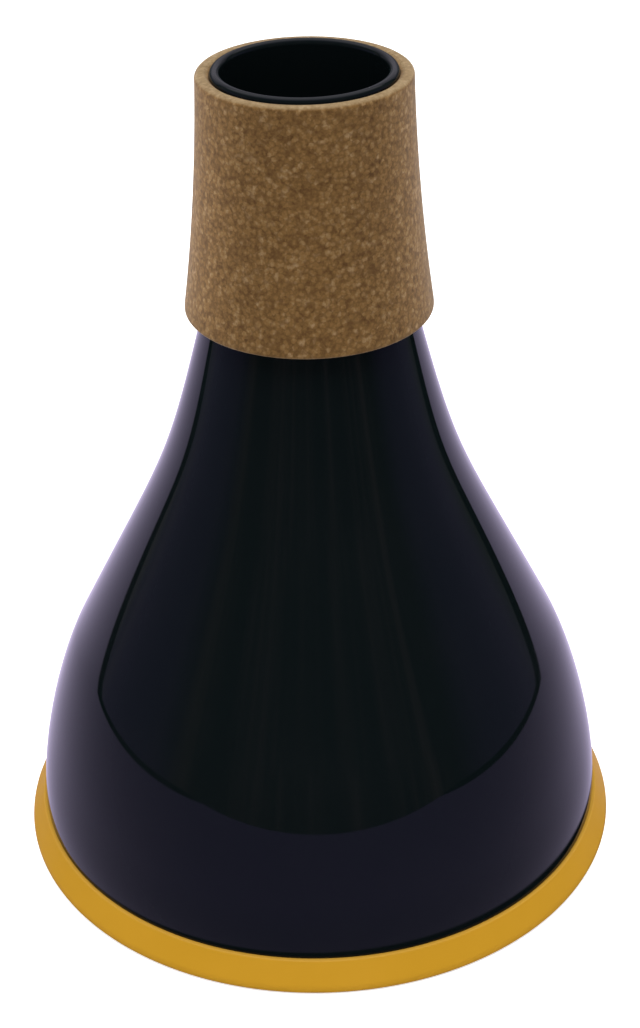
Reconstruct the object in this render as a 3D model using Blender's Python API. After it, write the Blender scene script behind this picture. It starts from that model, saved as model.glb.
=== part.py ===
"""Flugelhorn practice mute, standing on its base with its axis on Z.

A flared moulded shell carries a tapered cork sleeve on its neck. A round end cap closes its wide
end. Inside, a vent tube stands in a rubber bush in the cap, a foam pad covers the cap's floor and
a foam liner follows the shell's wall. Every piece is turned about Z, so each one is an outline of
(radius, height) points, in metres, that a Screw modifier turns into a closed solid.
"""

from math import atan2, ceil, cos, radians, sin, tan

import bpy
from mathutils import Vector

# The end cap, which the mute stands on.
CAP_RADIUS = 0.0552
CAP_DRAFT = 0.0024
CAP_RIM = 0.0013
CAP_HEIGHT = 0.00556
CAP_TOP_ROUND = 0.00025
CAP_FOOT_ROUND = 0.0005
CAP_LEDGE = 0.0005
CAP_FLOOR = 0.0024
STANDING_RIM = 0.006
UNDERSIDE_RECESS = 0.0012
GROOVE_DEPTH = 0.0005
SPIGOT_HEIGHT = 0.006
SPIGOT_WALL = 0.0018
SPIGOT_LEAD_IN = 0.0007

# The shell: a wall of even thickness along a flared outline.
SHELL_WALL = 0.0018
FOOT_ROUND = 0.0011
SHOULDER_RADIUS = 0.04396
SHOULDER_HEIGHT = 0.040
SHOULDER_LEAN = radians(26.8)
NECK_LEAN = radians(14.3)
MOUTH_LEAN = radians(1.0)
FOOT_PULL = 0.28
SHOULDER_PULL_DOWN = 0.29
SHOULDER_PULL_UP = 0.56
NECK_PULL_DOWN = 0.47
NECK_PULL_UP = 0.36
MOUTH_PULL = 0.36
LIP_PROUD = 0.0006

# The cork sleeve on the neck.
CORK_START = 0.1043
CORK_LENGTH = 0.04059
CORK_BOTTOM_RADIUS = 0.02098
CORK_TOP_RADIUS = 0.01747
CORK_BOTTOM_WALL = 0.0028
CORK_TOP_WALL = 0.0020
CORK_HOLLOW = 0.00057
CORK_BOTTOM_ROUND = 0.0004
CORK_TOP_ROUND = 0.0007

# The vent tube, the bush that grips it, and their socket in the cap.
VENT_BORE_RADIUS = 0.0033
VENT_TUBE_WALL = 0.0015
VENT_TUBE_LENGTH = 0.080
VENT_TUBE_ROUND = 0.0004
BUSH_WALL = 0.0018
BUSH_FLANGE = 0.0018
BUSH_FLANGE_THICK = 0.0014
BUSH_ROUND = 0.0004
SOCKET_WALL = 0.0024
SOCKET_DEPTH = 0.009
SOCKET_FILLET = 0.0012

# The foam: a pad on the cap's floor and a liner on the shell's wall.
PAD_THICK = 0.010
PAD_ROUND = 0.0012
LINER_THICK = 0.006
LINER_LENGTH = 0.048

# The film of glue, or the running gap, that every joined pair keeps.
GAP = 0.0003

# How finely round shapes are cut.
BODY_SIDES = 64
SMALL_SIDES = 32
FOAM_SIDES = 40
CORNER_STEP = radians(45)
LIP_STEPS = 6
FOOT_STEPS = 3
OUTER_STEPS = (5, 10, 5)
INNER_STEPS = (5, 8, 3)
CORK_SIDE_STEPS = 5
CORK_BORE_STEPS = 4

# Where the pieces meet, worked out from the sizes above.
FOOT_RADIUS = CAP_RADIUS - CAP_DRAFT - CAP_LEDGE
FOOT_BOTTOM = CAP_HEIGHT - GROOVE_DEPTH + GAP
SPIGOT_RADIUS = FOOT_RADIUS - SHELL_WALL - GAP
SPIGOT_BORE = SPIGOT_RADIUS - SPIGOT_WALL
SPIGOT_TOP = CAP_HEIGHT + SPIGOT_HEIGHT
FLOOR_TOP = UNDERSIDE_RECESS + CAP_FLOOR
CORK_END = CORK_START + CORK_LENGTH
MOUTH_TOP = CORK_END + LIP_PROUD
NECK_RADIUS = CORK_BOTTOM_RADIUS - CORK_BOTTOM_WALL - GAP
MOUTH_RADIUS = CORK_TOP_RADIUS - CORK_TOP_WALL - GAP
VENT_TUBE_RADIUS = VENT_BORE_RADIUS + VENT_TUBE_WALL
BUSH_BORE = VENT_TUBE_RADIUS + GAP
BUSH_RADIUS = BUSH_BORE + BUSH_WALL
SOCKET_BORE = BUSH_RADIUS + GAP
SOCKET_RADIUS = SOCKET_BORE + SOCKET_WALL
SOCKET_TOP = FLOOR_TOP + SOCKET_DEPTH
PAD_BOTTOM = FLOOR_TOP + GAP
PAD_TOP = PAD_BOTTOM + PAD_THICK
LINER_BOTTOM = max(SPIGOT_TOP, PAD_TOP) + GAP

# Colour, roughness and metallic value of each material.
FINISHES = {
    "black_gloss_plastic": ((0.006, 0.007, 0.009), 0.12, 0.0),
    "yellow_plastic": ((0.56, 0.285, 0.022), 0.38, 0.0),
    "fine_cork": ((0.17, 0.095, 0.038), 0.85, 0.0),
    "black_tube_plastic": ((0.012, 0.012, 0.014), 0.35, 0.0),
    "soft_rubber": ((0.020, 0.020, 0.022), 0.60, 0.0),
    "charcoal_foam": ((0.030, 0.030, 0.034), 0.95, 0.0),
}


def clear_scene():
    for thing in list(bpy.data.objects):
        bpy.data.objects.remove(thing, do_unlink=True)


def material(name):
    colour, roughness, metallic = FINISHES[name]
    finish = bpy.data.materials.new(name)
    finish.use_nodes = True
    finish.diffuse_color = (*colour, 1.0)
    shader = finish.node_tree.nodes["Principled BSDF"]
    shader.inputs["Base Color"].default_value = (*colour, 1.0)
    shader.inputs["Roughness"].default_value = roughness
    shader.inputs["Metallic"].default_value = metallic
    return finish


def rounded(corners):
    """The outline through (radius, height, corner round) entries, each round drawn as an arc."""
    outline = []
    for index, (r, z, size) in enumerate(corners):
        corner = Vector((r, z))
        if size == 0:
            outline.append(corner)
            continue
        before = Vector(corners[index - 1][:2]) - corner
        after = Vector(corners[(index + 1) % len(corners)][:2]) - corner
        outline += corner_arc(corner, before.normalized(), after.normalized(), size)
    return outline


def arc(middle, size, start, end, steps):
    """Points of an arc between two angles, measured from the outward direction."""
    angles = [start + (end - start) * step / steps for step in range(steps + 1)]
    return [middle + Vector((cos(angle), sin(angle))) * size for angle in angles]


def corner_arc(corner, before, after, size):
    """Points of the arc of this radius that touches both edges leaving a corner."""
    half_turn = before.angle(after) / 2
    middle = corner + (before + after).normalized() * size / sin(half_turn)
    start = corner + before * size / tan(half_turn) - middle
    end = corner + after * size / tan(half_turn) - middle
    first = atan2(start.y, start.x)
    sweep = start.angle_signed(end) * -1
    steps = max(2, ceil(abs(sweep) / CORNER_STEP - 0.01))
    return arc(middle, size, first, first + sweep, steps)


def lean(angle):
    """The direction that rises from the vertical towards the axis by this angle."""
    return Vector((-sin(angle), cos(angle)))


class Bend:
    """A smooth curve between two (radius, height) stations, each with its lean and its pull."""

    def __init__(self, start, start_lean, start_pull, end, end_lean, end_pull):
        chord = (end - start).length
        self.points = (
            start,
            start + lean(start_lean) * start_pull * chord,
            end - lean(end_lean) * end_pull * chord,
            end,
        )

    def at(self, t):
        a, b, c, d = self.points
        u = 1 - t
        return a * u**3 + b * 3 * u * u * t + c * 3 * u * t * t + d * t**3

    def inward(self, t):
        """The direction square to the curve, towards the axis."""
        a, b, c, d = self.points
        u = 1 - t
        along = (b - a) * u * u + (c - b) * 2 * u * t + (d - c) * t * t
        return Vector((-along.y, along.x)).normalized()


FOOT = Vector((FOOT_RADIUS, FOOT_BOTTOM + FOOT_ROUND))
SHOULDER = Vector((SHOULDER_RADIUS, SHOULDER_HEIGHT))
NECK = Vector((NECK_RADIUS, CORK_START))
MOUTH = Vector((MOUTH_RADIUS, MOUTH_TOP - SHELL_WALL / 2))
SKIRT_BEND = Bend(FOOT, 0.0, FOOT_PULL, SHOULDER, SHOULDER_LEAN, SHOULDER_PULL_DOWN)
FLARE_BEND = Bend(SHOULDER, SHOULDER_LEAN, SHOULDER_PULL_UP, NECK, NECK_LEAN, NECK_PULL_DOWN)
NECK_BEND = Bend(NECK, NECK_LEAN, NECK_PULL_UP, MOUTH, MOUTH_LEAN, MOUTH_PULL)
BENDS = (SKIRT_BEND, FLARE_BEND, NECK_BEND)


def wall_face(steps, depth):
    """The points, from the foot up to just below the lip, at this depth under the outer face."""
    face = []
    for bend, count in zip(BENDS, steps):
        face += [bend.at(i / count) + bend.inward(i / count) * depth for i in range(count)]
    return face


def under_face(height, depth):
    """The point at this height on the shell's wall, this deep under its outer face."""
    low, high = 0.0, float(len(BENDS))
    for _ in range(40):
        middle = (low + high) / 2
        bend = BENDS[min(int(middle), len(BENDS) - 1)]
        t = middle - BENDS.index(bend)
        point = bend.at(t) + bend.inward(t) * depth
        if point.y < height:
            low = middle
        else:
            high = middle
    return Vector((point.x, height))


def on_face(face, height):
    """The point at this height on a face that rises in straight steps."""
    for low, high in zip(face, face[1:]):
        if low.y <= height <= high.y:
            return low.lerp(high, (height - low.y) / (high.y - low.y))
    return face[-1]


def turned(name, outline, finish, sides):
    """A closed solid: the outline turned about Z. It runs down its outer side."""
    mesh = bpy.data.meshes.new(name)
    count = len(outline)
    edges = [(i, (i + 1) % count) for i in range(count)]
    mesh.from_pydata([(point.x, 0.0, point.y) for point in outline], edges, [])
    piece = bpy.data.objects.new(name, mesh)
    bpy.context.scene.collection.objects.link(piece)
    mesh.materials.append(finish)
    turn = piece.modifiers.new("turn", "SCREW")
    turn.axis = "Z"
    turn.steps = sides
    turn.render_steps = sides
    turn.use_merge_vertices = True
    turn.merge_threshold = 0.00001
    turn.use_smooth_shade = True
    return piece


def shell():
    """The flared wall, from its tucked foot to the round lip of its mouth."""
    lip_middle = MOUTH + NECK_BEND.inward(1.0) * SHELL_WALL / 2
    lip = arc(lip_middle, SHELL_WALL / 2, radians(180), 0.0, LIP_STEPS)
    foot_middle = Vector((FOOT_RADIUS - FOOT_ROUND, FOOT_BOTTOM + FOOT_ROUND))
    foot = arc(foot_middle, FOOT_ROUND, 0.0, radians(-90), FOOT_STEPS)
    foot_inside = Vector((FOOT_RADIUS - SHELL_WALL, FOOT_BOTTOM))
    outer = wall_face(OUTER_STEPS, 0.0)[:0:-1]
    inner = wall_face(INNER_STEPS, SHELL_WALL)
    outline = lip + outer + foot + [foot_inside] + inner
    return turned("shell", outline, material("black_gloss_plastic"), BODY_SIDES)


def cork_sleeve():
    """The sleeve: its outer side is a slightly hollow taper, its bore follows the neck."""
    rises = [CORK_LENGTH * step / CORK_BORE_STEPS for step in range(CORK_BORE_STEPS + 1)]
    bore = [under_face(CORK_START + rise, -GAP) for rise in rises]
    low = Vector((CORK_BOTTOM_RADIUS, CORK_START + CORK_BOTTOM_ROUND))
    high = Vector((CORK_TOP_RADIUS, CORK_END - CORK_TOP_ROUND))
    side = []
    for step in range(1, CORK_SIDE_STEPS):
        t = step / CORK_SIDE_STEPS
        hollow = Vector((CORK_HOLLOW * 4 * t * (1 - t), 0.0))
        side.append(low.lerp(high, t) - hollow)
    corners = [
        (bore[-1].x, CORK_END, 0),
        (CORK_TOP_RADIUS, CORK_END, CORK_TOP_ROUND),
        *[(point.x, point.y, 0) for point in reversed(side)],
        (CORK_BOTTOM_RADIUS, CORK_START, CORK_BOTTOM_ROUND),
        *[(point.x, point.y, 0) for point in bore[:-1]],
    ]
    return turned("cork_sleeve", rounded(corners), material("fine_cork"), BODY_SIDES)


def end_cap():
    """The cap: an upright rim that then slopes in, a groove and a spigot for the shell, a vent socket."""
    groove_floor = CAP_HEIGHT - GROOVE_DEPTH
    recess_radius = CAP_RADIUS - STANDING_RIM
    spigot_tip = under_face(SPIGOT_TOP, SHELL_WALL + GAP).x
    corners = [
        (spigot_tip - SPIGOT_LEAD_IN, SPIGOT_TOP, 0),
        (spigot_tip, SPIGOT_TOP - SPIGOT_LEAD_IN, 0),
        (SPIGOT_RADIUS, groove_floor, 0),
        (FOOT_RADIUS + GAP, groove_floor, 0),
        (FOOT_RADIUS + GAP, CAP_HEIGHT, 0),
        (CAP_RADIUS - CAP_DRAFT, CAP_HEIGHT, CAP_TOP_ROUND),
        (CAP_RADIUS, CAP_RIM, 0),
        (CAP_RADIUS, 0.0, CAP_FOOT_ROUND),
        (recess_radius, 0.0, 0),
        (recess_radius - UNDERSIDE_RECESS, UNDERSIDE_RECESS, 0),
        (VENT_BORE_RADIUS, UNDERSIDE_RECESS, 0),
        (VENT_BORE_RADIUS, FLOOR_TOP, 0),
        (SOCKET_BORE, FLOOR_TOP, 0),
        (SOCKET_BORE, SOCKET_TOP, 0),
        (SOCKET_RADIUS, SOCKET_TOP, 0),
        (SOCKET_RADIUS, FLOOR_TOP, SOCKET_FILLET),
        (SPIGOT_BORE, FLOOR_TOP, SOCKET_FILLET),
        (SPIGOT_BORE, SPIGOT_TOP, 0),
    ]
    return turned("end_cap", rounded(corners), material("yellow_plastic"), BODY_SIDES)


def vent_bush():
    """The rubber bush: a sleeve in the cap's socket with a flange on the socket's rim."""
    flange_top = SOCKET_TOP + GAP + BUSH_FLANGE_THICK
    corners = [
        (BUSH_BORE, flange_top, BUSH_ROUND),
        (BUSH_RADIUS + BUSH_FLANGE, flange_top, BUSH_ROUND),
        (BUSH_RADIUS + BUSH_FLANGE, SOCKET_TOP + GAP, 0),
        (BUSH_RADIUS, SOCKET_TOP + GAP, 0),
        (BUSH_RADIUS, FLOOR_TOP + GAP, 0),
        (BUSH_BORE, FLOOR_TOP + GAP, 0),
    ]
    return turned("vent_bush", rounded(corners), material("soft_rubber"), SMALL_SIDES)


def vent_tube():
    """The tube that leads air from the chamber out through the cap."""
    bottom = FLOOR_TOP + GAP
    top = bottom + VENT_TUBE_LENGTH
    corners = [
        (VENT_BORE_RADIUS, top, VENT_TUBE_ROUND),
        (VENT_TUBE_RADIUS, top, VENT_TUBE_ROUND),
        (VENT_TUBE_RADIUS, bottom, 0),
        (VENT_BORE_RADIUS, bottom, 0),
    ]
    return turned("vent_tube", rounded(corners), material("black_tube_plastic"), SMALL_SIDES)


def base_foam():
    """The foam pad on the cap's floor, cut to fit round the socket."""
    edge = SOCKET_FILLET + GAP
    corners = [
        (SOCKET_RADIUS + edge, PAD_TOP, PAD_ROUND),
        (SPIGOT_BORE - edge, PAD_TOP, PAD_ROUND),
        (SPIGOT_BORE - edge, PAD_BOTTOM, 0),
        (SOCKET_RADIUS + edge, PAD_BOTTOM, 0),
    ]
    return turned("base_foam", rounded(corners), material("charcoal_foam"), FOAM_SIDES)


def wall_foam():
    """The foam liner that stands on the pad and follows the shell's inner face."""
    near = SHELL_WALL + GAP
    face = wall_face(INNER_STEPS, near)
    top = LINER_BOTTOM + LINER_LENGTH
    heights = [LINER_BOTTOM, *[point.y for point in face if LINER_BOTTOM < point.y < top], top]
    outer = [on_face(face, height) for height in reversed(heights)]
    inner = [under_face(height, near + LINER_THICK) for height in heights]
    return turned("wall_foam", outer + inner, material("charcoal_foam"), FOAM_SIDES)


clear_scene()
mute = bpy.data.objects.new("mute", None)
bpy.context.scene.collection.objects.link(mute)
for make in (shell, cork_sleeve, end_cap, vent_bush, vent_tube, base_foam, wall_foam):
    make().parent = mute
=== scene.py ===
"""Looks of the flugelhorn practice mute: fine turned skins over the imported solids, their finishes,
and a white studio sweep seen from the photograph's viewing angle."""

from math import atan2, ceil, cos, pi, radians, sin, tan, tau

import bpy
from mathutils import Matrix, Vector


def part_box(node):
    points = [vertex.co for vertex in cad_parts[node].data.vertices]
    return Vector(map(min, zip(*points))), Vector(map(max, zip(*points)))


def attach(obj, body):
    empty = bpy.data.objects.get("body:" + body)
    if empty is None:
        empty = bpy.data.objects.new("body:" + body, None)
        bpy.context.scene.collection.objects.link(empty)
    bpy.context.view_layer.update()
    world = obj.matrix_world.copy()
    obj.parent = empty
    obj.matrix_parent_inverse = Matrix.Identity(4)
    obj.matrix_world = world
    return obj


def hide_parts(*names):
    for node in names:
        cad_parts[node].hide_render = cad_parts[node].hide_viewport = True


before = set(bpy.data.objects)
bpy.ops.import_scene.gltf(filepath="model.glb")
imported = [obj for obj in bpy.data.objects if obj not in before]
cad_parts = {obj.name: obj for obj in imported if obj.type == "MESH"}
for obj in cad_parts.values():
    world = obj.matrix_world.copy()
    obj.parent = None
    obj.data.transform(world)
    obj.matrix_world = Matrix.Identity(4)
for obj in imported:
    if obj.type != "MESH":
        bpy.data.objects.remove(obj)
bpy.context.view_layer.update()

MM = 0.001

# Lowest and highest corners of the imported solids, from which the skins take their sizes.
CAP_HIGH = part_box("end_cap")[1]
SHELL_LOW, SHELL_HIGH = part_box("shell")
CORK_LOW, CORK_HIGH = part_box("cork_sleeve")
TUBE_LOW, TUBE_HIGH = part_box("vent_tube")
BUSH_LOW, BUSH_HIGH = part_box("vent_bush")
PAD_LOW, PAD_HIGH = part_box("base_foam")
LINER_LOW, LINER_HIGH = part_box("wall_foam")

GAP = 0.3 * MM
SNUG = 0.06 * MM
INSET = 0.005 * MM
WALL = 1.8 * MM
FOOT_RADIUS = SHELL_HIGH.x
FOOT_BOTTOM = SHELL_LOW.z
FOOT_ROUND = 0.6 * MM
MOUTH_TOP = SHELL_HIGH.z
CORK_START = CORK_LOW.z
CORK_END = CORK_HIGH.z
CORK_BOTTOM_RADIUS = 20.98 * MM
CORK_TOP_RADIUS = 17.47 * MM
CORK_BOTTOM_ROUND = 0.4 * MM
CORK_TOP_ROUND = 0.7 * MM
CORK_BEVEL = (0.65 * MM, 0.42 * MM)
CORK_BEVEL_ROUND = 0.15 * MM
CORK_BOTTOM_WALL = 2.8 * MM
CORK_TOP_WALL = 2.0 * MM
CORK_HOLLOW = 0.57 * MM
NECK_RADIUS = CORK_BOTTOM_RADIUS - CORK_BOTTOM_WALL - GAP
MOUTH_RADIUS = CORK_TOP_RADIUS - CORK_TOP_WALL - GAP
SHOULDER = Vector((43.96 * MM, 40.0 * MM))
SHOULDER_LEAN = radians(26.8)
NECK_LEAN = radians(14.3)
MOUTH_LEAN = radians(1.0)

CAP_RADIUS = CAP_HIGH.x - INSET
CAP_RIM = 1.3 * MM
CAP_DRAFT = 2.4 * MM
CAP_HEIGHT = 5.56 * MM
CAP_RIM_ROUND = 2.4 * MM
CAP_TOP_ROUND = 0.25 * MM
CAP_FOOT_ROUND = 0.8 * MM
GROOVE_FLOOR = FOOT_BOTTOM - GAP
UNDERSIDE = 1.2 * MM
STANDING_RIM = 6.0 * MM
SPIGOT_HEIGHT = 6.0 * MM
SPIGOT_WALL = 1.8 * MM
SPIGOT_LEAD_IN = 0.7 * MM
VENT_BORE = 3.3 * MM
SOCKET_BORE = 7.2 * MM
SOCKET_RADIUS = 9.6 * MM
SOCKET_FILLET = 1.2 * MM
TUBE_ROUND = 0.4 * MM
BUSH_ROUND = 0.4 * MM
FLOOR_TOP = TUBE_LOW.z - GAP
FOAM_ROUND = 1.2 * MM
LINER_THICK = 6.0 * MM

SIDES = 256
SMALL_SIDES = 96


def lean(angle):
    """The direction that rises from the vertical towards the axis by this angle."""
    return Vector((-sin(angle), cos(angle)))


class Bend:
    """A smooth curve between two (radius, height) stations, each with its lean and its pull."""

    def __init__(self, start, start_lean, start_pull, end, end_lean, end_pull):
        chord = (end - start).length
        self.points = (
            start,
            start + lean(start_lean) * start_pull * chord,
            end - lean(end_lean) * end_pull * chord,
            end,
        )

    def at(self, t):
        a, b, c, d = self.points
        u = 1 - t
        return a * u**3 + b * 3 * u * u * t + c * 3 * u * t * t + d * t**3

    def inward(self, t):
        a, b, c, d = self.points
        u = 1 - t
        along = (b - a) * u * u + (c - b) * 2 * u * t + (d - c) * t * t
        return Vector((-along.y, along.x)).normalized()


FOOT = Vector((FOOT_RADIUS, FOOT_BOTTOM + FOOT_ROUND))
NECK = Vector((NECK_RADIUS, CORK_START))
MOUTH = Vector((MOUTH_RADIUS, MOUTH_TOP - WALL / 2))
BENDS = (
    Bend(FOOT, 0.0, 0.28, SHOULDER, SHOULDER_LEAN, 0.29),
    Bend(SHOULDER, SHOULDER_LEAN, 0.56, NECK, NECK_LEAN, 0.47),
    Bend(NECK, NECK_LEAN, 0.36, MOUTH, MOUTH_LEAN, 0.36),
)


def wall_face(steps, depth):
    """Points from the foot up to just below the lip, at this depth under the outer face."""
    face = []
    for bend, count in zip(BENDS, steps):
        face += [bend.at(i / count) + bend.inward(i / count) * depth for i in range(count)]
    return face


def under_face(height, depth):
    """The point at this height on the shell's wall, this deep under its outer face."""
    low, high = 0.0, float(len(BENDS))
    for _ in range(40):
        middle = (low + high) / 2
        bend = BENDS[min(int(middle), len(BENDS) - 1)]
        t = middle - BENDS.index(bend)
        if (bend.at(t) + bend.inward(t) * depth).y < height:
            low = middle
        else:
            high = middle
    return Vector(((bend.at(t) + bend.inward(t) * depth).x, height))


def arc(middle, size, start, end, steps):
    angles = [start + (end - start) * step / steps for step in range(steps + 1)]
    return [middle + Vector((cos(angle), sin(angle))) * size for angle in angles]


def rounded(corners, steps=6):
    """The outline through (radius, height, corner round) entries, each round drawn as an arc."""
    outline = []
    for index, (r, z, size) in enumerate(corners):
        corner = Vector((r, z))
        if size == 0:
            outline.append(corner)
            continue
        before = (Vector(corners[index - 1][:2]) - corner).normalized()
        after = (Vector(corners[(index + 1) % len(corners)][:2]) - corner).normalized()
        half_turn = before.angle(after) / 2
        middle = corner + (before + after).normalized() * size / sin(half_turn)
        start = corner + before * size / tan(half_turn) - middle
        end = corner + after * size / tan(half_turn) - middle
        first = atan2(start.y, start.x)
        outline += arc(middle, size, first, first - start.angle_signed(end), steps)
    return outline


def closer(outline, most):
    """The same closed outline with a point at least every `most` along its straight runs."""
    result = []
    for index, point in enumerate(outline):
        following = outline[(index + 1) % len(outline)]
        count = max(1, ceil((following - point).length / most))
        result += [point.lerp(following, step / count) for step in range(count)]
    return result


def turned(name, outline, finish, sides, replaced):
    """A closed skin: the outline turned about Z, riding on the body in place of its CAD node."""
    count = len(outline)
    points = []
    for side in range(sides):
        angle = tau * side / sides
        points += [(p.x * cos(angle), p.x * sin(angle), p.y) for p in outline]
    faces = []
    for side in range(sides):
        here = side * count
        there = ((side + 1) % sides) * count
        for i in range(count):
            j = (i + 1) % count
            faces.append((here + i, here + j, there + j, there + i))
    mesh = bpy.data.meshes.new(name)
    mesh.from_pydata(points, [], faces)
    mesh.materials.append(finish)
    mesh.shade_smooth()
    mesh.set_sharp_from_angle(angle=radians(35))
    piece = bpy.data.objects.new(name, mesh)
    bpy.context.scene.collection.objects.link(piece)
    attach(piece, "root")
    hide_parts(replaced)
    return piece


# Node graphs.


def add(tree, kind, values=None, **settings):
    """A new node with these settings, and these values on its inputs."""
    node = tree.nodes.new(kind)
    for key, value in settings.items():
        setattr(node, key, value)
    for key, value in (values or {}).items():
        if isinstance(value, bpy.types.NodeSocket):
            tree.links.new(value, node.inputs[key])
        else:
            node.inputs[key].default_value = value
    return node


def maths(tree, operation, first, second=0.0, third=0.0):
    node = add(tree, "ShaderNodeMath", {0: first, 1: second, 2: third}, operation=operation)
    return node.outputs[0]


def vector(tree, operation, entries, output="Vector"):
    node = add(tree, "ShaderNodeVectorMath", entries, operation=operation)
    return node.outputs[output]


def between(tree, value, low, high, out_low=0.0, out_high=1.0):
    """value from low to high, smoothly remapped to out_low to out_high."""
    entries = {"Value": value, "From Min": low, "From Max": high}
    entries.update({"To Min": out_low, "To Max": out_high})
    node = add(tree, "ShaderNodeMapRange", entries, interpolation_type="SMOOTHSTEP")
    return node.outputs["Result"]


def mixed(tree, factor, first, second):
    """From the first colour to the second by this factor."""
    node = add(tree, "ShaderNodeMix", {0: factor, 6: first, 7: second}, data_type="RGBA")
    return node.outputs[2]


def noise_at(tree, place, scale, detail=2.0, roughness=0.5):
    entries = {"Vector": place, "Scale": scale, "Detail": detail, "Roughness": roughness}
    return add(tree, "ShaderNodeTexNoise", entries).outputs["Fac"]


def placed(tree, shared, values):
    """A node group placed in a material with these values on its inputs."""
    return add(tree, "ShaderNodeGroup", values, node_tree=shared).outputs


def group(name, inputs, outputs, build):
    """A node group with these sockets; build(tree, entry sockets) gives what each output carries."""
    tree = bpy.data.node_groups.new(name, "ShaderNodeTree")
    for label, kind, *value in inputs:
        socket = tree.interface.new_socket(label, in_out="INPUT", socket_type=kind)
        if value:
            socket.default_value = value[0]
    for label, kind in outputs:
        tree.interface.new_socket(label, in_out="OUTPUT", socket_type=kind)
    entry = tree.nodes.new("NodeGroupInput")
    leave = tree.nodes.new("NodeGroupOutput")
    results = build(tree, entry.outputs)
    for label, result in results.items():
        tree.links.new(result, leave.inputs[label])
    return tree


FLOAT = "NodeSocketFloat"
VECTOR = "NodeSocketVector"
COLOUR = "NodeSocketColor"


def moulded_surface(tree, entry):
    """Moulded plastic: long soft ripples, fine pimple, and scuffs that roughen the gloss."""
    place = entry["Place"]
    ripple = noise_at(tree, place, entry["Ripple Scale"], 1.0)
    pimple = noise_at(tree, place, entry["Pimple Scale"], 2.0)
    pimple = maths(tree, "MULTIPLY", pimple, entry["Pimple"])
    height = maths(tree, "MULTIPLY_ADD", ripple, entry["Ripple"], pimple)
    smudge = noise_at(tree, place, 45.0, 4.0, 0.6)
    smudge = between(tree, smudge, 0.42, 0.72)
    squeezed = add(tree, "ShaderNodeMapping", {"Vector": place, "Scale": (1.0, 1.0, 9.0)})
    scratch = noise_at(tree, squeezed.outputs[0], 420.0, 3.0, 0.7)
    scratch = between(tree, scratch, 0.60, 0.74)
    marks = maths(tree, "MULTIPLY_ADD", scratch, 0.35, smudge)
    roughness = maths(tree, "MULTIPLY_ADD", marks, entry["Scuff"], entry["Roughness"])
    return {"Height": height, "Roughness": roughness, "Marks": marks}


def cork_granules(tree, entry):
    """Pressed cork: granules of three browns, darker seams between them and a scatter of pits."""
    place = entry["Place"]
    wobble = add(tree, "ShaderNodeTexNoise", {"Vector": place, "Scale": 1700.0, "Detail": 2.0})
    shift = vector(tree, "SUBTRACT", {0: wobble.outputs["Color"], 1: (0.5, 0.5, 0.5)})
    shift = vector(tree, "SCALE", {0: shift, "Scale": 0.5 * MM})
    bent = vector(tree, "ADD", {0: place, 1: shift})
    cells = add(tree, "ShaderNodeTexVoronoi", {"Vector": bent, "Scale": entry["Scale"]})
    pick = add(tree, "ShaderNodeSeparateColor", {"Color": cells.outputs["Color"]}).outputs[0]
    seam = between(tree, cells.outputs["Distance"], 0.38, 0.72)
    grit = noise_at(tree, place, 1250.0, 2.0, 0.60)
    mottle = noise_at(tree, place, 460.0, 2.0, 0.50)
    tone = maths(tree, "MULTIPLY_ADD", pick, 0.26, maths(tree, "MULTIPLY", grit, 0.80))
    tone = maths(tree, "MULTIPLY_ADD", mottle, 0.32, tone)
    tone = maths(tree, "SUBTRACT", tone, 0.22)
    colour = mixed(tree, between(tree, tone, 0.10, 0.56), entry["Dark"], entry["Middle"])
    colour = mixed(tree, between(tree, tone, 0.46, 0.92), colour, entry["Light"])
    spots = add(tree, "ShaderNodeTexVoronoi", {"Vector": bent, "Scale": 420.0})
    pit = between(tree, spots.outputs["Distance"], 0.10, 0.24, 1.0, 0.0)
    rare = add(tree, "ShaderNodeSeparateColor", {"Color": spots.outputs["Color"]}).outputs[1]
    pit = maths(tree, "MULTIPLY", pit, between(tree, rare, 0.84, 0.88, 0.0, 0.70))
    dark = maths(tree, "MAXIMUM", maths(tree, "MULTIPLY", seam, entry["Seam"]), pit)
    colour = mixed(tree, dark, colour, entry["Dark"])
    height = maths(tree, "MULTIPLY_ADD", dark, -1.8, pick)
    height = maths(tree, "MULTIPLY_ADD", grit, 0.8, height)
    return {"Color": colour, "Height": height}


def foam_cells(tree, entry):
    """Open-cell foam: bright cell walls round dark pores."""
    place = entry["Place"]
    edges = {"Vector": place, "Scale": entry["Scale"]}
    rib = add(tree, "ShaderNodeTexVoronoi", edges, feature="DISTANCE_TO_EDGE").outputs["Distance"]
    pore = between(tree, rib, 0.04, 0.22)
    shade = noise_at(tree, place, 60.0, 3.0)
    colour = mixed(tree, pore, entry["Rib"], entry["Pore"])
    colour = mixed(tree, between(tree, shade, 0.3, 0.8, 0.0, 0.35), colour, entry["Rib"])
    return {"Color": colour, "Height": maths(tree, "SUBTRACT", 1.0, pore)}


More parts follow.
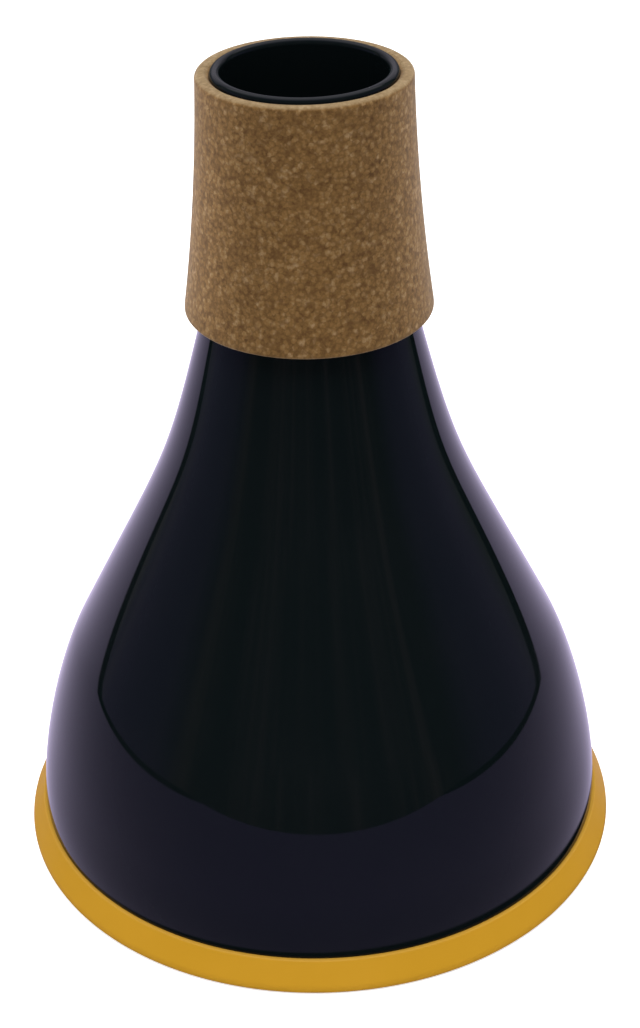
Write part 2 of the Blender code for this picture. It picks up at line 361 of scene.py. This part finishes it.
MOULDED = group(
    "moulded surface",
    [
        ("Place", VECTOR),
        ("Ripple Scale", FLOAT, 40.0),
        ("Ripple", FLOAT, 1.0),
        ("Pimple Scale", FLOAT, 1500.0),
        ("Pimple", FLOAT, 0.1),
        ("Scuff", FLOAT, 0.1),
        ("Roughness", FLOAT, 0.3),
    ],
    [("Height", FLOAT), ("Roughness", FLOAT), ("Marks", FLOAT)],
    moulded_surface,
)
GRANULES = group(
    "cork granules",
    [
        ("Place", VECTOR),
        ("Scale", FLOAT, 1200.0),
        ("Seam", FLOAT, 0.4),
        ("Dark", COLOUR, (0.15, 0.08, 0.03, 1.0)),
        ("Middle", COLOUR, (0.33, 0.20, 0.10, 1.0)),
        ("Light", COLOUR, (0.48, 0.32, 0.17, 1.0)),
    ],
    [("Color", COLOUR), ("Height", FLOAT)],
    cork_granules,
)
CELLS = group(
    "foam cells",
    [
        ("Place", VECTOR),
        ("Scale", FLOAT, 900.0),
        ("Rib", COLOUR, (0.06, 0.06, 0.07, 1.0)),
        ("Pore", COLOUR, (0.012, 0.012, 0.014, 1.0)),
    ],
    [("Color", COLOUR), ("Height", FLOAT)],
    foam_cells,
)


def new_finish(name):
    """A material with nodes: (material, tree, its Principled shader, the object's own place)."""
    finish = bpy.data.materials.new(name)
    finish.use_nodes = True
    tree = finish.node_tree
    shader = tree.nodes["Principled BSDF"]
    place = add(tree, "ShaderNodeTexCoord").outputs["Object"]
    return finish, tree, shader, place


def bumped(tree, shader, height, distance, strength=1.0):
    bump = add(tree, "ShaderNodeBump", {"Height": height, "Distance": distance, "Strength": strength})
    tree.links.new(bump.outputs["Normal"], shader.inputs["Normal"])


def radius_at(tree, place):
    flat = vector(tree, "MULTIPLY", {0: place, 1: (1.0, 1.0, 0.0)})
    return vector(tree, "LENGTH", {0: flat}, "Value")


def height_at(tree, place):
    return add(tree, "ShaderNodeSeparateXYZ", {"Vector": place}).outputs["Z"]


def shell_finish():
    """Gloss black moulded plastic, a little worn at the lip and bright on the lip's crown."""
    finish, tree, shader, place = new_finish("gloss black shell")
    skin = placed(tree, MOULDED, {
        "Place": place, "Ripple Scale": 26.0, "Ripple": 1.0, "Pimple Scale": 1400.0,
        "Pimple": 0.006, "Scuff": 0.03, "Roughness": 0.03,
    })
    height = height_at(tree, place)
    lip = between(tree, height, MOUTH_TOP - 1.2 * MM, MOUTH_TOP)
    crown = between(tree, height, MOUTH_TOP - 0.30 * MM, MOUTH_TOP - 0.10 * MM, 0.0, 0.44)
    rough = maths(tree, "MULTIPLY_ADD", lip, 0.08, skin["Roughness"])
    dust = maths(tree, "MULTIPLY", skin["Marks"], 0.25)
    colour = mixed(tree, dust, (0.0030, 0.0052, 0.0058, 1.0), (0.0055, 0.0072, 0.0080, 1.0))
    tree.links.new(colour, shader.inputs["Base Color"])
    tree.links.new(rough, shader.inputs["Roughness"])
    tree.links.new(crown, shader.inputs["Coat Weight"])
    shader.inputs["Coat Roughness"].default_value = 0.12
    shader.inputs["Specular IOR Level"].default_value = 0.090
    shader.inputs["Specular Tint"].default_value = (0.66, 0.49, 0.92, 1.0)
    bumped(tree, shader, skin["Height"], 0.05 * MM)
    return finish


def cap_finish():
    """Satin golden yellow moulded plastic, with a painted highlight along its top edge, painted shade at
    its foot and painted shade in the groove.
    """
    finish, tree, shader, place = new_finish("satin yellow cap")
    skin = placed(tree, MOULDED, {
        "Place": place, "Ripple Scale": 60.0, "Ripple": 0.6, "Pimple Scale": 1900.0,
        "Pimple": 0.12, "Scuff": 0.10, "Roughness": 0.40,
    })
    height = height_at(tree, place)
    radius = radius_at(tree, place)
    # painted highlight: the top edge is coloured paler, as if lit from above
    edge_highlight = between(tree, height, CAP_HEIGHT - 0.30 * MM, CAP_HEIGHT - 0.05 * MM)
    # painted shade: the foot is coloured darker where the rounding turns under towards the floor
    foot_shade = between(tree, height, 0.1 * MM, 0.7 * MM, 1.0, 0.0)
    tone = noise_at(tree, place, 70.0, 3.0)
    colour = mixed(tree, tone, (0.515, 0.265, 0.016, 1.0), (0.553, 0.286, 0.022, 1.0))
    colour = mixed(tree, maths(tree, "MULTIPLY", edge_highlight, 0.18), colour, (0.72, 0.45, 0.14, 1.0))
    colour = mixed(tree, maths(tree, "MULTIPLY", foot_shade, 0.40), colour, (0.40, 0.24, 0.02, 1.0))
    # painted shade: the groove under the shell's foot is coloured near black
    groove = between(tree, radius, FOOT_RADIUS - 0.40 * MM, FOOT_RADIUS - 0.25 * MM, 1.0, 0.0)
    above = between(tree, height, GROOVE_FLOOR - 0.3 * MM, GROOVE_FLOOR - 0.1 * MM)
    groove_shade = maths(tree, "MULTIPLY", maths(tree, "MULTIPLY", groove, above), 0.96)
    colour = mixed(tree, groove_shade, colour, (0.010, 0.008, 0.005, 1.0))
    tree.links.new(colour, shader.inputs["Base Color"])
    tree.links.new(skin["Roughness"], shader.inputs["Roughness"])
    shader.inputs["Specular IOR Level"].default_value = 0.03
    bumped(tree, shader, skin["Height"], 0.04 * MM)
    return finish


def cork_finish():
    """Fine pressed cork, sanded to its taper, paler where it was cut at its two ends, the top end partly as
    a painted highlight of the light from above.
    """
    finish, tree, shader, place = new_finish("fine pressed cork")
    side = placed(tree, GRANULES, {
        "Place": place, "Scale": 1250.0, "Seam": 0.46, "Dark": (0.082, 0.038, 0.010, 1.0),
        "Middle": (0.194, 0.104, 0.032, 1.0), "Light": (0.348, 0.232, 0.123, 1.0),
    })
    cut = placed(tree, GRANULES, {
        "Place": place, "Scale": 1600.0, "Seam": 0.30, "Dark": (0.150, 0.094, 0.040, 1.0),
        "Middle": (0.235, 0.160, 0.082, 1.0), "Light": (0.315, 0.235, 0.135, 1.0),
    })
    height = height_at(tree, place)
    # partly painted highlight: the top end takes the pale cut-face colours in full, a real cut face
    # lightened further as if lit from above; the bottom end takes them only in part
    top = between(tree, height, CORK_END - 0.45 * MM, CORK_END - 0.05 * MM)
    rim = between(tree, height, CORK_START + 0.05 * MM, CORK_START + 0.45 * MM, 0.6, 0.0)
    colour = mixed(tree, maths(tree, "MAXIMUM", top, rim), side["Color"], cut["Color"])
    tree.links.new(colour, shader.inputs["Base Color"])
    shader.inputs["Roughness"].default_value = 0.88
    shader.inputs["Specular IOR Level"].default_value = 0.20
    shader.inputs["Sheen Weight"].default_value = 0.12
    shader.inputs["Sheen Roughness"].default_value = 0.45
    bumped(tree, shader, side["Height"], 0.07 * MM, 0.16)
    return finish


def tube_finish():
    """Drawn black plastic tube with fine marks along its length."""
    finish, tree, shader, place = new_finish("drawn black tube")
    skin = placed(tree, MOULDED, {
        "Place": place, "Ripple Scale": 90.0, "Ripple": 0.3, "Pimple Scale": 2200.0,
        "Pimple": 0.05, "Scuff": 0.12, "Roughness": 0.32,
    })
    colour = mixed(tree, skin["Marks"], (0.011, 0.011, 0.013, 1.0), (0.022, 0.022, 0.024, 1.0))
    tree.links.new(colour, shader.inputs["Base Color"])
    tree.links.new(skin["Roughness"], shader.inputs["Roughness"])
    bumped(tree, shader, skin["Height"], 0.03 * MM)
    return finish


def rubber_finish():
    """Soft black rubber with a powdery bloom."""
    finish, tree, shader, place = new_finish("soft black rubber")
    skin = placed(tree, MOULDED, {
        "Place": place, "Ripple Scale": 120.0, "Ripple": 0.5, "Pimple Scale": 2600.0,
        "Pimple": 0.2, "Scuff": 0.15, "Roughness": 0.58,
    })
    bloom = between(tree, noise_at(tree, place, 240.0, 4.0, 0.6), 0.4, 0.8)
    colour = mixed(tree, bloom, (0.018, 0.018, 0.020, 1.0), (0.045, 0.045, 0.048, 1.0))
    tree.links.new(colour, shader.inputs["Base Color"])
    tree.links.new(skin["Roughness"], shader.inputs["Roughness"])
    bumped(tree, shader, skin["Height"], 0.05 * MM)
    return finish


def foam_finish():
    """Charcoal open-cell foam."""
    finish, tree, shader, place = new_finish("charcoal foam")
    cells = placed(tree, CELLS, {"Place": place, "Scale": 850.0})
    tree.links.new(cells["Color"], shader.inputs["Base Color"])
    shader.inputs["Roughness"].default_value = 0.95
    shader.inputs["Specular IOR Level"].default_value = 0.15
    bumped(tree, shader, cells["Height"], 0.3 * MM)
    return finish


# The pieces.


def shell_skin():
    lip_middle = MOUTH + BENDS[2].inward(1.0) * WALL / 2
    lip = arc(lip_middle, WALL / 2, pi, 0.0, 18)
    foot_middle = Vector((FOOT_RADIUS - FOOT_ROUND, FOOT_BOTTOM + FOOT_ROUND))
    foot = arc(foot_middle, FOOT_ROUND, 0.0, -pi / 2, 8)
    foot_inside = Vector((FOOT_RADIUS - WALL, FOOT_BOTTOM))
    outer = wall_face((28, 56, 20), 0.0)[:0:-1]
    inner = wall_face((8, 16, 8), WALL)
    outline = lip + outer + foot + [foot_inside] + inner
    return turned("black_shell", outline, shell_finish(), SIDES, "shell")


def cork_skin():
    wide, deep = CORK_BEVEL
    rise = (CORK_END - deep - CORK_START) / 8
    bore = [under_face(CORK_START + rise * step, -SNUG) for step in range(9)]
    low = Vector((CORK_BOTTOM_RADIUS, CORK_START + CORK_BOTTOM_ROUND))
    high = Vector((CORK_TOP_RADIUS, CORK_END - CORK_TOP_ROUND))
    side_steps = 60
    side = []
    for step in range(1, side_steps):
        t = step / side_steps
        side.append(low.lerp(high, t) - Vector((CORK_HOLLOW * 4 * t * (1 - t), 0.0)))
    corners = [
        (bore[-1].x + wide, CORK_END, CORK_BEVEL_ROUND),
        (CORK_TOP_RADIUS, CORK_END, CORK_TOP_ROUND),
        *[(point.x, point.y, 0) for point in reversed(side)],
        (CORK_BOTTOM_RADIUS, CORK_START, CORK_BOTTOM_ROUND),
        *[(point.x, point.y, 0) for point in bore],
    ]
    outline = closer(rounded(corners), 0.7 * MM)
    return turned("cork_ring", outline, cork_finish(), SIDES, "cork_sleeve")


def cap_skin():
    recess_radius = CAP_RADIUS - STANDING_RIM
    spigot = FOOT_RADIUS - WALL - GAP
    tip_height = CAP_HEIGHT + SPIGOT_HEIGHT
    tip = under_face(tip_height, WALL + GAP).x
    under_foot = FOOT_ROUND - (CAP_HEIGHT - FOOT_BOTTOM)
    seat = FOOT_RADIUS - FOOT_ROUND + (FOOT_ROUND**2 - under_foot**2) ** 0.5 + SNUG
    corners = [
        (tip - SPIGOT_LEAD_IN, tip_height, 0),
        (tip, tip_height - SPIGOT_LEAD_IN, 0),
        (spigot, GROOVE_FLOOR, 0),
        (seat, GROOVE_FLOOR, 0),
        (seat, CAP_HEIGHT, 0),
        (CAP_RADIUS - CAP_DRAFT, CAP_HEIGHT, CAP_TOP_ROUND),
        (CAP_RADIUS, CAP_RIM, CAP_RIM_ROUND),
        (CAP_RADIUS, 0.0, CAP_FOOT_ROUND),
        (recess_radius, 0.0, 0),
        (recess_radius - UNDERSIDE, UNDERSIDE, 0),
        (VENT_BORE, UNDERSIDE, 0),
        (VENT_BORE, FLOOR_TOP, 0),
        (SOCKET_BORE, FLOOR_TOP, 0),
        (SOCKET_BORE, CAP_HIGH.z, 0),
        (SOCKET_RADIUS, CAP_HIGH.z, 0),
        (SOCKET_RADIUS, FLOOR_TOP, SOCKET_FILLET),
        (spigot - SPIGOT_WALL, FLOOR_TOP, SOCKET_FILLET),
        (spigot - SPIGOT_WALL, tip_height, 0),
    ]
    outline = closer(rounded(corners), 2.0 * MM)
    return turned("yellow_cap", outline, cap_finish(), SIDES, "end_cap")


def tube_skin():
    outer = TUBE_HIGH.x
    corners = [
        (VENT_BORE, TUBE_HIGH.z, TUBE_ROUND),
        (outer, TUBE_HIGH.z, TUBE_ROUND),
        (outer, TUBE_LOW.z, 0),
        (VENT_BORE, TUBE_LOW.z, 0),
    ]
    outline = closer(rounded(corners), 4.0 * MM)
    return turned("air_tube", outline, tube_finish(), SMALL_SIDES, "vent_tube")


def bush_skin():
    bore = TUBE_HIGH.x + GAP
    sleeve = SOCKET_BORE - GAP
    under = CAP_HIGH.z + GAP
    corners = [
        (bore, BUSH_HIGH.z, BUSH_ROUND),
        (BUSH_HIGH.x, BUSH_HIGH.z, BUSH_ROUND),
        (BUSH_HIGH.x, under, 0),
        (sleeve, under, 0),
        (sleeve, BUSH_LOW.z, 0),
        (bore, BUSH_LOW.z, 0),
    ]
    outline = closer(rounded(corners), 2.0 * MM)
    return turned("rubber_bush", outline, rubber_finish(), SMALL_SIDES, "vent_bush")


def pad_skin(finish):
    hole = SOCKET_RADIUS + SOCKET_FILLET + GAP
    corners = [
        (hole, PAD_HIGH.z, FOAM_ROUND),
        (PAD_HIGH.x, PAD_HIGH.z, FOAM_ROUND),
        (PAD_HIGH.x, PAD_LOW.z, 0),
        (hole, PAD_LOW.z, 0),
    ]
    outline = closer(rounded(corners), 2.0 * MM)
    return turned("foam_pad", outline, finish, SMALL_SIDES, "base_foam")


def liner_skin(finish):
    steps = 24
    rise = LINER_HIGH.z - LINER_LOW.z
    heights = [LINER_LOW.z + rise * step / steps for step in range(steps + 1)]
    outer = [under_face(height, WALL + GAP) for height in reversed(heights)]
    inner = [under_face(height, WALL + GAP + LINER_THICK) for height in heights]
    return turned("foam_liner", outer + inner, finish, SMALL_SIDES, "wall_foam")


# The studio.

CAMERA_PLACE = Vector((0.0, -313.41 * MM, 252.37 * MM))
CAMERA_PITCH = 0.54366
CAMERA_YAW = 0.00348
CAMERA_ROLL = -0.01974
FOCAL_PIXELS = 2050.46
PHOTO_HEIGHT = 1028
SENSOR = 36.0


def camera():
    ahead = Vector((
        sin(CAMERA_YAW) * cos(CAMERA_PITCH),
        cos(CAMERA_YAW) * cos(CAMERA_PITCH),
        -sin(CAMERA_PITCH),
    ))
    level = Vector((cos(CAMERA_YAW), -sin(CAMERA_YAW), 0.0))
    upright = level.cross(ahead)
    right = level * cos(CAMERA_ROLL) + upright * sin(CAMERA_ROLL)
    above = upright * cos(CAMERA_ROLL) - level * sin(CAMERA_ROLL)
    data = bpy.data.cameras.new("camera")
    data.sensor_width = SENSOR
    data.lens = FOCAL_PIXELS / PHOTO_HEIGHT * SENSOR
    data.clip_start = 0.01
    eye = bpy.data.objects.new("camera", data)
    bpy.context.scene.collection.objects.link(eye)
    turn = Matrix((right, above, -ahead)).transposed().to_4x4()
    eye.matrix_world = Matrix.Translation(CAMERA_PLACE) @ turn
    bpy.context.scene.camera = eye


SWEEP_FRONT = -0.375
SWEEP_BACK = 0.24
SWEEP_BEND = 0.12
SWEEP_TOP = 0.42
SWEEP_LEFT = (-0.37, -0.33)
SWEEP_RIGHT = (0.39, 0.26)
SWEEP_EDGE = (0.16, 0.07)
SOFTBOX_AWAY = 0.30

# A painted contact shadow round the cap on the paper, seen only in the gloss: a disc's place, its soft edge
# and its fade.
CONTACT_SHADOW_MIDDLE = (1.4 * MM, -5.2 * MM, 0.0)
CONTACT_SHADOW_EDGE = (54.3 * MM, 55.9 * MM)
CONTACT_SHADOW_FADE = (55.0 * MM, 90.0 * MM)


def sweep_line():
    """The sweep from its front edge, over its curved rise, to the top: (y, z) stations."""
    line = [Vector((SWEEP_FRONT, 0.0))]
    line += arc(Vector((SWEEP_BACK - SWEEP_BEND, SWEEP_BEND)), SWEEP_BEND, -pi / 2, 0.0, 24)
    return line + [Vector((SWEEP_BACK, SWEEP_TOP))]


def strip(name, left, right, finish):
    """Part of the sweep between two side lines, each given by its x at the front and at the back."""
    points = []
    for station in sweep_line():
        along = (station.x - SWEEP_FRONT) / (SWEEP_BACK - SWEEP_FRONT)
        for front, back in (left, right):
            points.append((front + (back - front) * along, station.x, station.y))
    faces = [(i, i + 1, i + 3, i + 2) for i in range(0, len(points) - 2, 2)]
    mesh = bpy.data.meshes.new(name)
    mesh.from_pydata(points, [], faces)
    mesh.shade_smooth()
    mesh.materials.append(finish)
    paper = bpy.data.objects.new(name, mesh)
    bpy.context.scene.collection.objects.link(paper)


def sweep():
    """A white paper sweep, narrower at its back, with an unlit strip beside it at either hand."""
    strip("paper_sweep", SWEEP_LEFT, SWEEP_RIGHT, paper_finish())
    unlit = unlit_finish()
    strip("left_edge", [x - wide for x, wide in zip(SWEEP_LEFT, SWEEP_EDGE)], SWEEP_LEFT, unlit)
    strip("right_edge", SWEEP_RIGHT, [x + wide for x, wide in zip(SWEEP_RIGHT, SWEEP_EDGE)], unlit)


def clear_behind(tree, seen):
    """The same surface, clear to a camera that looks at its back."""
    rays = add(tree, "ShaderNodeLightPath").outputs["Is Camera Ray"]
    back = add(tree, "ShaderNodeNewGeometry").outputs["Backfacing"]
    clear = add(tree, "ShaderNodeBsdfTransparent").outputs[0]
    from_behind = maths(tree, "MULTIPLY", rays, back)
    seen = add(tree, "ShaderNodeMixShader", {0: from_behind, 1: seen, 2: clear}).outputs[0]
    tree.links.new(seen, tree.nodes["Material Output"].inputs["Surface"])


def paper_finish():
    """Paper: white to the camera; in the gloss lavender, dimmer higher up, with a painted contact shadow
    round the cap.
    """
    finish, tree, shader, place = new_finish("white paper")
    shader.inputs["Base Color"].default_value = (0.80, 0.80, 0.80, 1.0)
    shader.inputs["Roughness"].default_value = 0.9
    shader.inputs["Specular IOR Level"].default_value = 0.0
    height = height_at(tree, place)
    gleam = mixed(tree, between(tree, height, 0.06, 0.09), (1.06, 0.93, 1.34, 1.0), (0.12, 0.12, 0.14, 1.0))
    gleam = mixed(tree, between(tree, height, 0.19, 0.22), gleam, (0.45, 0.42, 0.48, 1.0))
    # painted shadow: the gleam goes dark in a disc round the cap and dims towards it
    away = radius_at(tree, vector(tree, "SUBTRACT", {0: place, 1: CONTACT_SHADOW_MIDDLE}))
    shade = between(tree, away, *CONTACT_SHADOW_FADE, 0.80, 1.0)
    shade = maths(tree, "MULTIPLY", shade, between(tree, away, *CONTACT_SHADOW_EDGE))
    gleam = mixed(tree, shade, (0.0, 0.0, 0.0, 1.0), gleam)
    path = add(tree, "ShaderNodeLightPath").outputs
    mirrored = add(tree, "ShaderNodeEmission", {"Color": gleam}).outputs[0]
    glow = add(tree, "ShaderNodeEmission", {"Strength": 0.60}).outputs[0]
    both = add(tree, "ShaderNodeAddShader", {0: shader.outputs[0], 1: glow}).outputs[0]
    seen = {0: path["Is Glossy Ray"], 1: shader.outputs[0], 2: mirrored}
    seen = add(tree, "ShaderNodeMixShader", seen).outputs[0]
    seen = add(tree, "ShaderNodeMixShader", {0: path["Is Camera Ray"], 1: seen, 2: both}).outputs[0]
    clear_behind(tree, seen)
    return finish


def unlit_finish():
    """Beside the paper: white to the camera, black in the gloss."""
    finish, tree, shader, _ = new_finish("unlit strip")
    path = add(tree, "ShaderNodeLightPath").outputs
    shader.inputs["Base Color"].default_value = (0.0, 0.0, 0.0, 1.0)
    shader.inputs["Specular IOR Level"].default_value = 0.0
    glow = add(tree, "ShaderNodeEmission").outputs[0]
    seen = {0: path["Is Camera Ray"], 1: shader.outputs[0], 2: glow}
    seen = add(tree, "ShaderNodeMixShader", seen).outputs[0]
    clear_behind(tree, seen)
    return finish


def lamp(name, place, aim, size, power, spread=pi):
    """A soft lamp that doesn't show in the gloss."""
    data = bpy.data.lights.new(name, "AREA")
    data.shape = "RECTANGLE"
    data.size, data.size_y = size
    data.energy = power
    data.spread = spread
    light = bpy.data.objects.new(name, data)
    bpy.context.scene.collection.objects.link(light)
    light.location = place
    light.rotation_euler = (Vector(aim) - Vector(place)).to_track_quat("-Z", "Y").to_euler()
    light.visible_glossy = False


def studio_light():
    """A softbox overhead, a gridded softbox behind the cork at either hand, and the room."""
    lamp("top_softbox", (0.0, -0.10, 0.95), (0.0, 0.0, 0.05), (0.9, 0.9), 11.0)
    cork_middle = (CORK_START + CORK_END) / 2
    for name, angle, power in (("left_softbox", -121.0, 0.042), ("right_softbox", 127.0, 0.035)):
        angle = radians(angle)
        place = (SOFTBOX_AWAY * sin(angle), -SOFTBOX_AWAY * cos(angle), cork_middle)
        lamp(name, place, (0.0, 0.0, cork_middle), (0.15, 0.05), power, radians(24.0))
    world = bpy.data.worlds.new("room")
    bpy.context.scene.world = world
    world.use_nodes = True
    tree = world.node_tree
    path = add(tree, "ShaderNodeLightPath").outputs
    heading = add(tree, "ShaderNodeTexCoord").outputs["Generated"]
    upright = vector(tree, "MULTIPLY", {0: heading, 1: (1.0, 1.0, 0.04)})
    fold = between(tree, noise_at(tree, upright, 5.0, 3.0, 0.6), 0.42, 0.72)
    sideways = add(tree, "ShaderNodeSeparateXYZ", {"Vector": heading}).outputs["X"]
    sideways = between(tree, maths(tree, "ABSOLUTE", sideways), 0.82, 0.99)
    curtain = mixed(tree, fold, (0.14, 0.17, 0.11, 1.0), (0.68, 0.66, 0.38, 1.0))
    curtain = mixed(tree, sideways, curtain, (0.42, 0.36, 0.62, 1.0))
    overhead = vector(tree, "DOT_PRODUCT", {0: heading, 1: (0.0, 0.40, 0.917)}, "Value")
    overhead = between(tree, overhead, 0.66, 0.76)
    curtain = mixed(tree, overhead, curtain, (1.0, 1.0, 1.0, 1.0))
    colour = mixed(tree, path["Is Glossy Ray"], (0.45, 0.45, 0.45, 1.0), curtain)
    colour = mixed(tree, path["Is Camera Ray"], colour, (1.0, 1.0, 1.0, 1.0))
    tree.links.new(colour, tree.nodes["Background"].inputs["Color"])


camera()
shell_skin()
cork_skin()
cap_skin()
tube_skin()
bush_skin()
foam = foam_finish()
pad_skin(foam)
liner_skin(foam)
sweep()
studio_light()

scene = bpy.context.scene
scene.view_settings.view_transform = "Standard"
